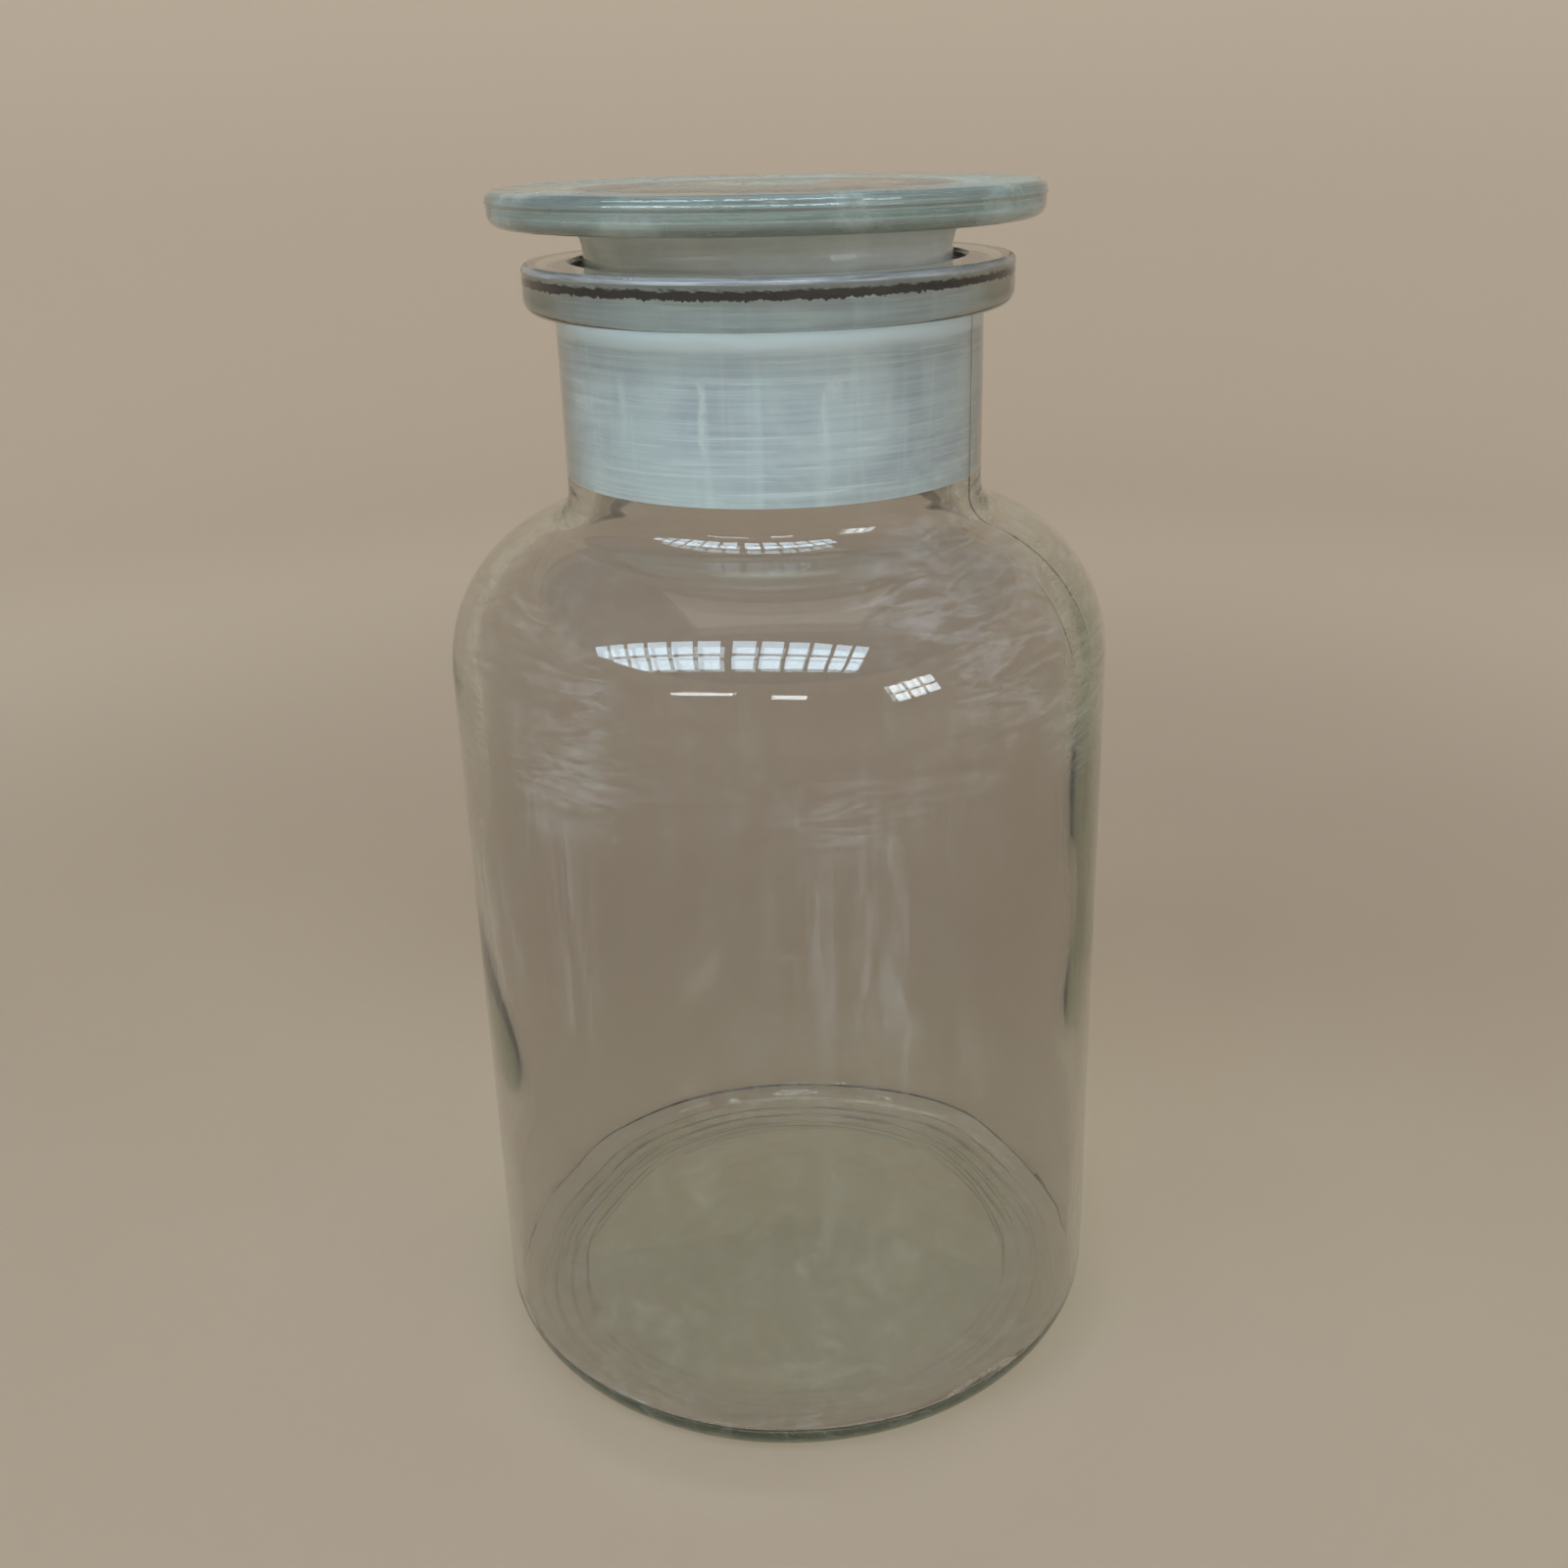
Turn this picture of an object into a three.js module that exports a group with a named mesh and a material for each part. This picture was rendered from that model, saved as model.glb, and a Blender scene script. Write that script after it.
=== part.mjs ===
// Wide-mouth storage jar with a ground-glass neck and a flat-headed, hollow glass stopper.
// Units are millimetres and +Z is up. The jar stands on z = 0 and every shape turns about the Z axis.
// Both bodies are solids of revolution, so each is one closed outline in the (radius, height) plane.
import * as THREE from 'three';

// How finely the outlines are turned and how finely their round stretches are divided.
const FACETS_AROUND = 56;
const ARC_STEP_DEGREES = 18;

// Overall height, to the flat top of the stopper's head.
const TOTAL_HEIGHT = 250;

// Bottle: foot, body and shoulder, outside.
const BODY_RADIUS_AT_HEEL = 69.1;
const BODY_RADIUS_AT_SHOULDER = 68;
const HEEL_ROUND = 10.5;
const SHOULDER_START_HEIGHT = 158.2;
const SHOULDER_ROUND = 30.8;
const PUSH_UP_RADIUS = 48;
const PUSH_UP_HEIGHT = 4.2;

// Bottle: neck and rim, outside.
const NECK_RADIUS = 41.7;
const NECK_FOOT_ROUND = 6.25;
const RIM_RADIUS = 47.5;
const RIM_TOP_HEIGHT = 236.8;
const RIM_UNDERSIDE_HEIGHT = 227.6;
const RIM_LOWER_ROUND = 3;
const RIM_UPPER_ROUND = 1.2;
const RIM_ROOT_ROUND = 1;

// Bottle: ground bore, which narrows downwards, and the inside of the body.
const BORE_MOUTH_ROUND = 0.8;
const BORE_RADIUS_AT_RIM = 38;
const BORE_RADIUS_AT_FOOT = 36.6;
const BORE_FOOT_HEIGHT = 195.9;
const WALL_AT_MID_BODY = 4.2;
const MID_BODY_HEIGHT = 90;
const WALL_AT_INNER_HEEL = 3.2;
const INNER_HEEL_WIDTH = 15;
const INNER_HEEL_HEIGHT = 4;
const FLOOR_EDGE_HEIGHT = 4.6;
const BASE_THICKNESS = 6;

// Stopper: round flat head.
const HEAD_RADIUS = 53;
const HEAD_UNDERSIDE_HEIGHT = 243.4;
const HEAD_LOWER_ROUND = 2.6;
const HEAD_UPPER_ROUND = 1.3;
const HEAD_DISH_RADIUS = 14;
const HEAD_DISH_DEPTH = 0.8;

// Stopper: waist between the head and the ground plug, and the plug itself.
const WAIST_RADIUS = 35.6;
const WAIST_FLARE_WIDTH = 3.6;
const WAIST_FLARE_HEIGHT = 5.6;
const WAIST_FOOT_HEIGHT = 234.4;
const PLUG_TOP_HEIGHT = 232.6;
const PLUG_FOOT_HEIGHT = 198.5;
const PLUG_EDGE_ROUND = 1;
const JOINT_GAP = 0.3;

// Stopper: hollow inside the plug, open at its foot.
const HOLLOW_RADIUS_AT_FOOT = 30.4;
const HOLLOW_RADIUS_AT_TOP = 25.8;
const HOLLOW_TOP_HEIGHT = 240.2;
const HOLLOW_TOP_ROUND = 4;

/**
 * Points (radius, height) along an arc, angles in degrees from the outward direction.
 * The arc is circular unless `rise`, its half-height, is given as well.
 */
function arc(centreRadius, centreHeight, round, fromDegrees, toDegrees, rise = round) {
  const steps = Math.max(2, Math.ceil(Math.abs(toDegrees - fromDegrees) / ARC_STEP_DEGREES));
  const points = [];
  for (let i = 0; i <= steps; i += 1) {
    const angle = THREE.MathUtils.degToRad(fromDegrees + ((toDegrees - fromDegrees) * i) / steps);
    points.push(point(centreRadius + round * Math.cos(angle), centreHeight + rise * Math.sin(angle)));
  }
  return points;
}

/** One point of an outline. */
function point(radius, height) {
  return new THREE.Vector2(radius, height);
}

/**
 * Points of a shallow round dome or dish, from the axis out to its edge.
 * The middle stands above the edge by `rise`, or below it when `rise` is negative.
 */
function dome(edgeRadius, edgeHeight, rise, steps) {
  const ballRadius = (edgeRadius ** 2 + rise ** 2) / (2 * Math.abs(rise));
  const points = [];
  for (let i = 0; i <= steps; i += 1) {
    const radius = (edgeRadius * i) / steps;
    const drop = ballRadius - Math.sqrt(ballRadius ** 2 - radius ** 2);
    points.push(point(radius, edgeHeight + rise - Math.sign(rise) * drop));
  }
  return points;
}

/** Radius of the straight-sided ground bore at a height. */
function boreRadius(height) {
  const share = (height - BORE_FOOT_HEIGHT) / (RIM_TOP_HEIGHT - BORE_FOOT_HEIGHT);
  return THREE.MathUtils.lerp(BORE_RADIUS_AT_FOOT, BORE_RADIUS_AT_RIM, share);
}

/** Outer radius of the body's near-straight side at a height. */
function bodyRadius(height) {
  const share = (height - HEEL_ROUND) / (SHOULDER_START_HEIGHT - HEEL_ROUND);
  return THREE.MathUtils.lerp(BODY_RADIUS_AT_HEEL, BODY_RADIUS_AT_SHOULDER, share);
}

/** Centres and meeting angle of the shoulder's arc and the hollow arc at the neck's foot. */
function shoulderArcs() {
  const shoulderCentre = point(BODY_RADIUS_AT_SHOULDER - SHOULDER_ROUND, SHOULDER_START_HEIGHT);
  const footCentreRadius = NECK_RADIUS + NECK_FOOT_ROUND;
  const across = footCentreRadius - shoulderCentre.x;
  const up = Math.sqrt((SHOULDER_ROUND + NECK_FOOT_ROUND) ** 2 - across ** 2);
  const footCentre = point(footCentreRadius, shoulderCentre.y + up);
  return { shoulderCentre, footCentre, meetDegrees: THREE.MathUtils.radToDeg(Math.atan2(up, across)) };
}

/** Underside and outside of the bottle, from the middle of the push-up to the foot of the rim. */
function bottleOutside() {
  const { shoulderCentre, footCentre, meetDegrees } = shoulderArcs();
  return [
    ...dome(PUSH_UP_RADIUS, 0, PUSH_UP_HEIGHT, 6),
    ...arc(BODY_RADIUS_AT_HEEL - HEEL_ROUND, HEEL_ROUND, HEEL_ROUND, -90, 0),
    ...arc(shoulderCentre.x, shoulderCentre.y, SHOULDER_ROUND, 0, meetDegrees),
    ...arc(footCentre.x, footCentre.y, NECK_FOOT_ROUND, 180 + meetDegrees, 180).slice(1),
  ];
}

/** Rim standing out from the neck's top, with its rounded edges and the mouth of the bore. */
function bottleRim() {
  const lowerCentreHeight = RIM_UNDERSIDE_HEIGHT + RIM_LOWER_ROUND;
  const upperCentreHeight = RIM_TOP_HEIGHT - RIM_UPPER_ROUND;
  const mouthRadius = boreRadius(RIM_TOP_HEIGHT - BORE_MOUTH_ROUND);
  return [
    ...arc(NECK_RADIUS + RIM_ROOT_ROUND, RIM_UNDERSIDE_HEIGHT - RIM_ROOT_ROUND, RIM_ROOT_ROUND, 180, 90),
    ...arc(RIM_RADIUS - RIM_LOWER_ROUND, lowerCentreHeight, RIM_LOWER_ROUND, -90, 0),
    ...arc(RIM_RADIUS - RIM_UPPER_ROUND, upperCentreHeight, RIM_UPPER_ROUND, 0, 90),
    ...arc(mouthRadius + BORE_MOUTH_ROUND, RIM_TOP_HEIGHT - BORE_MOUTH_ROUND, BORE_MOUTH_ROUND, 90, 180),
  ];
}

/** Inside of the bottle, from the foot of the bore down to the middle of the floor. */
function bottleInside() {
  const { shoulderCentre, footCentre, meetDegrees } = shoulderArcs();
  const innerFootRound = footCentre.x - BORE_RADIUS_AT_FOOT;
  const innerShoulderRound = SHOULDER_ROUND + NECK_FOOT_ROUND - innerFootRound;
  const heelCentreHeight = FLOOR_EDGE_HEIGHT + INNER_HEEL_HEIGHT;
  const innerHeelRadius = bodyRadius(heelCentreHeight) - WALL_AT_INNER_HEEL;
  const floorEdgeRadius = innerHeelRadius - INNER_HEEL_WIDTH;
  const floorRise = PUSH_UP_HEIGHT + BASE_THICKNESS - FLOOR_EDGE_HEIGHT;
  return [
    point(BORE_RADIUS_AT_FOOT, BORE_FOOT_HEIGHT),
    ...arc(footCentre.x, footCentre.y, innerFootRound, 180, 180 + meetDegrees),
    ...arc(shoulderCentre.x, shoulderCentre.y, innerShoulderRound, meetDegrees, 0).slice(1),
    point(bodyRadius(MID_BODY_HEIGHT) - WALL_AT_MID_BODY, MID_BODY_HEIGHT),
    ...arc(floorEdgeRadius, heelCentreHeight, INNER_HEEL_WIDTH, 0, -90, INNER_HEEL_HEIGHT),
    ...dome(floorEdgeRadius, FLOOR_EDGE_HEIGHT, floorRise, 6).reverse().slice(1),
  ];
}

/** Closed outline of the bottle. */
function bottleOutline() {
  return [...bottleOutside(), ...bottleRim(), ...bottleInside()];
}

/** Hollow inside the plug, from the middle of its ceiling down to its open foot. */
function stopperHollow() {
  const roundCentreHeight = HOLLOW_TOP_HEIGHT - HOLLOW_TOP_ROUND;
  return [
    point(0, HOLLOW_TOP_HEIGHT),
    ...arc(HOLLOW_RADIUS_AT_TOP - HOLLOW_TOP_ROUND, roundCentreHeight, HOLLOW_TOP_ROUND, 90, 0),
    point(HOLLOW_RADIUS_AT_FOOT, PLUG_FOOT_HEIGHT),
  ];
}

/** Ground plug with its rounded lower edge, then the waist up to the head's underside. */
function stopperPlugAndWaist() {
  const footRadius = boreRadius(PLUG_FOOT_HEIGHT) - JOINT_GAP;
  const edgeCentreHeight = PLUG_FOOT_HEIGHT + PLUG_EDGE_ROUND;
  const flareRadius = WAIST_RADIUS + WAIST_FLARE_WIDTH;
  const flareFootHeight = HEAD_UNDERSIDE_HEIGHT - WAIST_FLARE_HEIGHT;
  return [
    ...arc(footRadius - PLUG_EDGE_ROUND, edgeCentreHeight, PLUG_EDGE_ROUND, -90, 0),
    point(boreRadius(PLUG_TOP_HEIGHT) - JOINT_GAP, PLUG_TOP_HEIGHT),
    point(WAIST_RADIUS, WAIST_FOOT_HEIGHT),
    ...arc(flareRadius, flareFootHeight, WAIST_FLARE_WIDTH, 180, 90, WAIST_FLARE_HEIGHT),
  ];
}

/** Edge and top of the head, to the middle of the shallow dish. */
function stopperHead() {
  const lowerCentreHeight = HEAD_UNDERSIDE_HEIGHT + HEAD_LOWER_ROUND;
  const upperCentreHeight = TOTAL_HEIGHT - HEAD_UPPER_ROUND;
  return [
    ...arc(HEAD_RADIUS - HEAD_LOWER_ROUND, lowerCentreHeight, HEAD_LOWER_ROUND, -90, 0),
    ...arc(HEAD_RADIUS - HEAD_UPPER_ROUND, upperCentreHeight, HEAD_UPPER_ROUND, 0, 90),
    ...dome(HEAD_DISH_RADIUS, TOTAL_HEIGHT, -HEAD_DISH_DEPTH, 3).reverse(),
  ];
}

/** Closed outline of the stopper. */
function stopperOutline() {
  return [...stopperHollow(), ...stopperPlugAndWaist(), ...stopperHead()];
}

/** Mesh made by turning an outline once about the Z axis. */
function turned(name, outline, material) {
  const geometry = new THREE.LatheGeometry(outline, FACETS_AROUND);
  geometry.rotateX(Math.PI / 2);
  const mesh = new THREE.Mesh(geometry, material);
  mesh.name = name;
  return mesh;
}

/** Blown body of the jar, in nearly colourless glass. */
function bottle() {
  const glass = new THREE.MeshStandardMaterial({ color: 0xc3ccbd, roughness: 0.06, metalness: 0 });
  return turned('bottle', bottleOutline(), glass);
}

/** Pressed stopper, in glass that looks blue-green through its edge. */
function stopper() {
  const glass = new THREE.MeshStandardMaterial({ color: 0xa3c2b5, roughness: 0.08, metalness: 0 });
  return turned('stopper', stopperOutline(), glass);
}

const jar = new THREE.Group();
jar.name = 'lidded_glass_canister';
jar.add(bottle(), stopper());

export default jar;
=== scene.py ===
"""Looks for the lidded glass canister: a blown wide-mouth jar with a ground neck and its ground stopper.

Units are metres, +Z is up and the jar stands on z = 0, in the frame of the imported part.
Both glass bodies are turned again here from the part's own outlines, much finer, with the small
unevenness of real glass: mould seams, a parting lip, a wavy inner wall and rings in the base.
"""

import math

import bpy
from mathutils import Matrix, Vector, noise


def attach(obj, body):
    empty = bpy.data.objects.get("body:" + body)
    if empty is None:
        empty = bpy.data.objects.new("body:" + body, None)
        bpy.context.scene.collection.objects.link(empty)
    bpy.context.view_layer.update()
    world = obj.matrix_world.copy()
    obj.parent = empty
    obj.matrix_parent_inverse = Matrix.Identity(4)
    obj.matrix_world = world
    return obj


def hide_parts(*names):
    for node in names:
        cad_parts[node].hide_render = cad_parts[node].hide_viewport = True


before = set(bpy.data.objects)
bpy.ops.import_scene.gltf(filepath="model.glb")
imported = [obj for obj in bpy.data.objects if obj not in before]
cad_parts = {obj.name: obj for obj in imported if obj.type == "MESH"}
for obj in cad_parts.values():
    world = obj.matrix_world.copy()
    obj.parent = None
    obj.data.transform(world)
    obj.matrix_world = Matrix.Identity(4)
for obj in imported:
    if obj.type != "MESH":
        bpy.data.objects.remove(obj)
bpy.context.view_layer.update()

MM = 0.001

# ---------------------------------------------------------------- the part's own measures
TOTAL_HEIGHT = 250 * MM

BODY_RADIUS_AT_HEEL = 69.1 * MM
BODY_RADIUS_AT_SHOULDER = 68 * MM
HEEL_ROUND = 10.5 * MM
SHOULDER_START_HEIGHT = 158.2 * MM
SHOULDER_ROUND = 30.8 * MM
PUSH_UP_RADIUS = 48 * MM
PUSH_UP_HEIGHT = 4.2 * MM

NECK_RADIUS = 41.7 * MM
NECK_FOOT_ROUND = 6.25 * MM
RIM_RADIUS = 47.5 * MM
RIM_TOP_HEIGHT = 236.8 * MM
RIM_UNDERSIDE_HEIGHT = 227.6 * MM
RIM_LOWER_ROUND = 3 * MM
RIM_UPPER_ROUND = 1.2 * MM
RIM_ROOT_ROUND = 1 * MM

BORE_MOUTH_ROUND = 0.8 * MM
BORE_RADIUS_AT_RIM = 38 * MM
BORE_RADIUS_AT_FOOT = 36.6 * MM
BORE_FOOT_HEIGHT = 195.9 * MM
WALL_AT_MID_BODY = 4.2 * MM
MID_BODY_HEIGHT = 90 * MM
WALL_AT_INNER_HEEL = 3.2 * MM
INNER_HEEL_WIDTH = 15 * MM
INNER_HEEL_HEIGHT = 4 * MM
FLOOR_EDGE_HEIGHT = 4.6 * MM
BASE_THICKNESS = 6 * MM

HEAD_RADIUS = 53 * MM
HEAD_UNDERSIDE_HEIGHT = 243.4 * MM
HEAD_LOWER_ROUND = 2.6 * MM
HEAD_UPPER_ROUND = 1.3 * MM
HEAD_DISH_RADIUS = 14 * MM
HEAD_DISH_DEPTH = 0.8 * MM

WAIST_RADIUS = 35.6 * MM
WAIST_FLARE_WIDTH = 3.6 * MM
WAIST_FLARE_HEIGHT = 5.6 * MM
WAIST_FOOT_HEIGHT = 234.4 * MM
PLUG_TOP_HEIGHT = 232.6 * MM
PLUG_FOOT_HEIGHT = 198.5 * MM
PLUG_EDGE_ROUND = 1 * MM
JOINT_GAP = 0.3 * MM

HOLLOW_RADIUS_AT_FOOT = 30.4 * MM
HOLLOW_RADIUS_AT_TOP = 25.8 * MM
HOLLOW_TOP_HEIGHT = 240.2 * MM
HOLLOW_TOP_ROUND = 4 * MM

# ---------------------------------------------------------------- fine detail of the glass
# How finely the outlines are turned. Steps, offsets and the closest spacing are in degrees.
COLUMNS_AROUND = 216
ARC_STEP_DEGREES = 5
INNER_HEEL_STEP_DEGREES = 2
SEAM_COLUMN_OFFSETS = (-1.2, -0.8, -0.55, -0.35, -0.18, 0, 0.18, 0.35, 0.55, 0.8, 1.2)
CLOSEST_COLUMNS = 0.08

# Lengths below which two points are one, and below which a point is on the axis.
SAME_POINT = 1e-6
ON_AXIS = 1e-7

# The ground bore's top, the mould seams, the stopper's parting lip, and the ring under the base.
GROUND_BORE_TOP = 235.3 * MM
SEAM_AZIMUTHS = (-26, 154)
SEAM_HEIGHT = 0.12 * MM
SEAM_HALF_WIDTH = 0.3 * MM
SEAM_FADES_BELOW = 178 * MM
SEAM_GONE_BELOW = 160 * MM
PARTING_LIP_HEIGHT = 248.0 * MM
PARTING_LIP_REACH = 0.26 * MM
PARTING_LIP_HALF_WIDTH = 0.45 * MM
BASE_RING_RADIUS = 35 * MM
BASE_RING_REACH = 0.16 * MM
BASE_RING_HALF_WIDTH = 1.6 * MM

# The inner heel is built up at the back of the jar.
BACK_HEEL_RISE = 1.5 * MM
BACK_HEEL_RADIUS = 64.7 * MM
BACK_HEEL_HALF_WIDTH = 2.0 * MM

# Faint rings left round the inner floor's edge and heel: radius, height and half width.
FLOOR_RINGS = (
    (51.2 * MM, 0.24 * MM, 1.0 * MM),
    (55.0 * MM, 0.14 * MM, 1.0 * MM),
    (58.6 * MM, 0.20 * MM, 1.0 * MM),
    (61.8 * MM, 0.12 * MM, 0.8 * MM),
)

# Where the blown wall is thicker: azimuth and its spread in degrees, height, its spread, and how much.
THICK_SPOTS = (
    (193, 20, 74 * MM, 16 * MM, 1.3 * MM),
    (-10, 18, 112 * MM, 36 * MM, 1.3 * MM),
    (-10, 14, 88 * MM, 10 * MM, 0.8 * MM),
    (-14, 20, 165 * MM, 22 * MM, 1.0 * MM),
    (250, 34, 128 * MM, 22 * MM, 0.5 * MM),
    (310, 40, 60 * MM, 26 * MM, 0.5 * MM),
    (90, 50, 70 * MM, 30 * MM, 0.6 * MM),
    (150, 30, 40 * MM, 14 * MM, 0.7 * MM),
)

# Grime on the bore. Its foot and top are given before their ragged edges are added.
GRIME_FOOT_HEIGHT = 230.8 * MM
GRIME_TOP_HEIGHT = 235.1 * MM
MOUTH_LINE_HEIGHT = 236.45 * MM
MOUTH_LINE_HALF_WIDTH = 0.32 * MM

# Painted light: a paler, less clear band of the ground bore just below the rim, standing in for the light
# that the rim's glass gathers onto it.
PAINTED_LIGHT_BAND_FOOT = 223.6 * MM
PAINTED_LIGHT_BAND_TOP = 227.6 * MM

# The film on the clear glass: a cleaner column, where it comes in, and where its streaks turn level.
CLEAN_COLUMN_AZIMUTH = -103
HAZE_FOOT_HEIGHT = 78 * MM
HAZE_FULL_HEIGHT = 100 * MM
UPRIGHT_STREAKS_TOP = 132 * MM
LEVEL_STREAKS_FOOT = 152 * MM

# How far each surface wanders from its plain outline.
OUTSIDE_WAVE = 0.10 * MM
INSIDE_WAVE = 0.35 * MM
INNER_HEEL_WAVE = 0.9 * MM
INNER_HEEL_RIPPLE = 0.5 * MM
FLOOR_WAVE = 0.9 * MM
FLOOR_RINGS_WAVE = 2.2 * MM
HEAD_EDGE_WAVE = 0.06 * MM
HEAD_FLAT_WAVE = 0.05 * MM
HOLLOW_WAVE = 0.25 * MM

# Upright wipes and runs on the ground neck: azimuth and half width in degrees, foot, top, and strength.
NECK_MARKS = (
    (-134.5, 1.6, 207 * MM, 219 * MM, 0.7),
    (-131.5, 0.8, 202 * MM, 213 * MM, 0.4),
    (-109.2, 1.0, 206 * MM, 218.5 * MM, 0.8),
    (-76.4, 0.9, 207.5 * MM, 217 * MM, 0.7),
    (-73.5, 2.6, 215.5 * MM, 219.5 * MM, 0.8),
    (-69.0, 1.6, 217 * MM, 219.8 * MM, 0.5),
    (-58.0, 1.0, 210 * MM, 216 * MM, 0.3),
    (-20, 1.6, 205 * MM, 217 * MM, 0.6),
    (30, 1.2, 200 * MM, 219 * MM, 0.6),
    (75, 2.2, 212 * MM, 220 * MM, 0.7),
    (118, 1.0, 203 * MM, 216 * MM, 0.6),
    (165, 1.4, 206 * MM, 218 * MM, 0.5),
)


# ---------------------------------------------------------------- outlines
def arc(centre_radius, centre_height, size, start, end, tall=None, step=ARC_STEP_DEGREES):
    """Points (radius, height) along an arc, round or tall half-high, angles in degrees from outward."""
    steps = max(3, math.ceil(abs(end - start) / step))
    rise = size if tall is None else tall
    points = []
    for i in range(steps + 1):
        angle = math.radians(start + (end - start) * i / steps)
        points.append((centre_radius + size * math.cos(angle), centre_height + rise * math.sin(angle)))
    return points


def straight(start, end, longest):
    """Points along a straight stretch, no further apart than longest."""
    steps = max(1, math.ceil(math.dist(start, end) / longest))
    return [tuple(a + (b - a) * i / steps for a, b in zip(start, end)) for i in range(steps + 1)]


def dome(edge_radius, edge_height, rise, longest):
    """A shallow dome or dish from the axis out to its edge; the middle stands above the edge by rise."""
    ball = (edge_radius**2 + rise**2) / (2 * abs(rise))
    steps = math.ceil(edge_radius / longest)
    points = []
    for i in range(steps + 1):
        radius = edge_radius * i / steps
        drop = ball - math.sqrt(ball**2 - radius**2)
        points.append((radius, edge_height + rise - math.copysign(drop, rise)))
    return points


def bore_radius(height):
    """Radius of the straight-sided ground bore at a height."""
    share = (height - BORE_FOOT_HEIGHT) / (RIM_TOP_HEIGHT - BORE_FOOT_HEIGHT)
    return BORE_RADIUS_AT_FOOT + share * (BORE_RADIUS_AT_RIM - BORE_RADIUS_AT_FOOT)


def body_radius(height):
    """Outer radius of the body's near-straight side at a height."""
    share = (height - HEEL_ROUND) / (SHOULDER_START_HEIGHT - HEEL_ROUND)
    return BODY_RADIUS_AT_HEEL + share * (BODY_RADIUS_AT_SHOULDER - BODY_RADIUS_AT_HEEL)


def shoulder_arcs():
    """Centres of the shoulder's arc and of the hollow arc at the neck's foot, and their meeting angle."""
    shoulder = (BODY_RADIUS_AT_SHOULDER - SHOULDER_ROUND, SHOULDER_START_HEIGHT)
    across = NECK_RADIUS + NECK_FOOT_ROUND - shoulder[0]
    up = math.sqrt((SHOULDER_ROUND + NECK_FOOT_ROUND) ** 2 - across**2)
    foot = (NECK_RADIUS + NECK_FOOT_ROUND, shoulder[1] + up)
    return shoulder, foot, math.degrees(math.atan2(up, across))


def bottle_outline():
    """The bottle's closed outline as (zone, points) stretches, from push-up round to inner floor."""
    shoulder, foot, meet = shoulder_arcs()
    upper_centre = RIM_TOP_HEIGHT - RIM_UPPER_ROUND
    mouth_height = RIM_TOP_HEIGHT - BORE_MOUTH_ROUND
    mouth = (bore_radius(mouth_height), mouth_height)
    ground_top = (bore_radius(GROUND_BORE_TOP), GROUND_BORE_TOP)
    bore_foot = (BORE_RADIUS_AT_FOOT, BORE_FOOT_HEIGHT)
    inner_foot = foot[0] - BORE_RADIUS_AT_FOOT
    inner_shoulder = SHOULDER_ROUND + NECK_FOOT_ROUND - inner_foot
    heel_height = FLOOR_EDGE_HEIGHT + INNER_HEEL_HEIGHT
    inner_heel_radius = body_radius(heel_height) - WALL_AT_INNER_HEEL
    floor_edge = inner_heel_radius - INNER_HEEL_WIDTH
    inner_mid = (body_radius(MID_BODY_HEIGHT) - WALL_AT_MID_BODY, MID_BODY_HEIGHT)
    inner_top = (shoulder[0] + inner_shoulder, shoulder[1])
    floor_rise = PUSH_UP_HEIGHT + BASE_THICKNESS - FLOOR_EDGE_HEIGHT
    side = ((BODY_RADIUS_AT_HEEL, HEEL_ROUND), (BODY_RADIUS_AT_SHOULDER, shoulder[1]))
    rim_root = (NECK_RADIUS + RIM_ROOT_ROUND, RIM_UNDERSIDE_HEIGHT - RIM_ROOT_ROUND)
    rim_foot = (RIM_RADIUS - RIM_LOWER_ROUND, RIM_UNDERSIDE_HEIGHT + RIM_LOWER_ROUND)
    rim_outer_edge = (RIM_RADIUS - RIM_UPPER_ROUND, RIM_TOP_HEIGHT)
    rim_inner_edge = (mouth[0] + BORE_MOUTH_ROUND, RIM_TOP_HEIGHT)
    heel_corner = (floor_edge, heel_height)
    inner_heel = arc(*heel_corner, INNER_HEEL_WIDTH, 0, -90, INNER_HEEL_HEIGHT, INNER_HEEL_STEP_DEGREES)
    return [
        ("under", dome(PUSH_UP_RADIUS, 0, PUSH_UP_HEIGHT, 1.2 * MM)),
        ("heel", arc(BODY_RADIUS_AT_HEEL - HEEL_ROUND, HEEL_ROUND, HEEL_ROUND, -90, 0)),
        ("side", straight(*side, 4 * MM)),
        ("shoulder", arc(*shoulder, SHOULDER_ROUND, 0, meet)),
        ("neck", arc(*foot, NECK_FOOT_ROUND, 180 + meet, 180)),
        ("neck", straight((NECK_RADIUS, foot[1]), (NECK_RADIUS, rim_root[1]), 3 * MM)),
        ("rim", arc(*rim_root, RIM_ROOT_ROUND, 180, 90)),
        ("rim", arc(*rim_foot, RIM_LOWER_ROUND, -90, 0)),
        ("rim", straight((RIM_RADIUS, rim_foot[1]), (RIM_RADIUS, upper_centre), 1 * MM)),
        ("worn_edge", arc(RIM_RADIUS - RIM_UPPER_ROUND, upper_centre, RIM_UPPER_ROUND, 0, 90)),
        ("rim", straight(rim_outer_edge, rim_inner_edge, 1 * MM)),
        ("mouth", arc(mouth[0] + BORE_MOUTH_ROUND, mouth_height, BORE_MOUTH_ROUND, 90, 180)),
        ("mouth", straight(mouth, ground_top, 0.3 * MM)),
        ("ground", straight(ground_top, bore_foot, 2 * MM)),
        ("inside", arc(*foot, inner_foot, 180, 180 + meet)),
        ("inside", arc(*shoulder, inner_shoulder, meet, 0)),
        ("inside", straight(inner_top, inner_mid, 3 * MM)),
        ("inside", straight(inner_mid, (inner_heel_radius, heel_height), 3 * MM)),
        ("inner_heel", inner_heel),
        ("floor", dome(floor_edge, FLOOR_EDGE_HEIGHT, floor_rise, 1.4 * MM)[::-1]),
    ]


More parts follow.
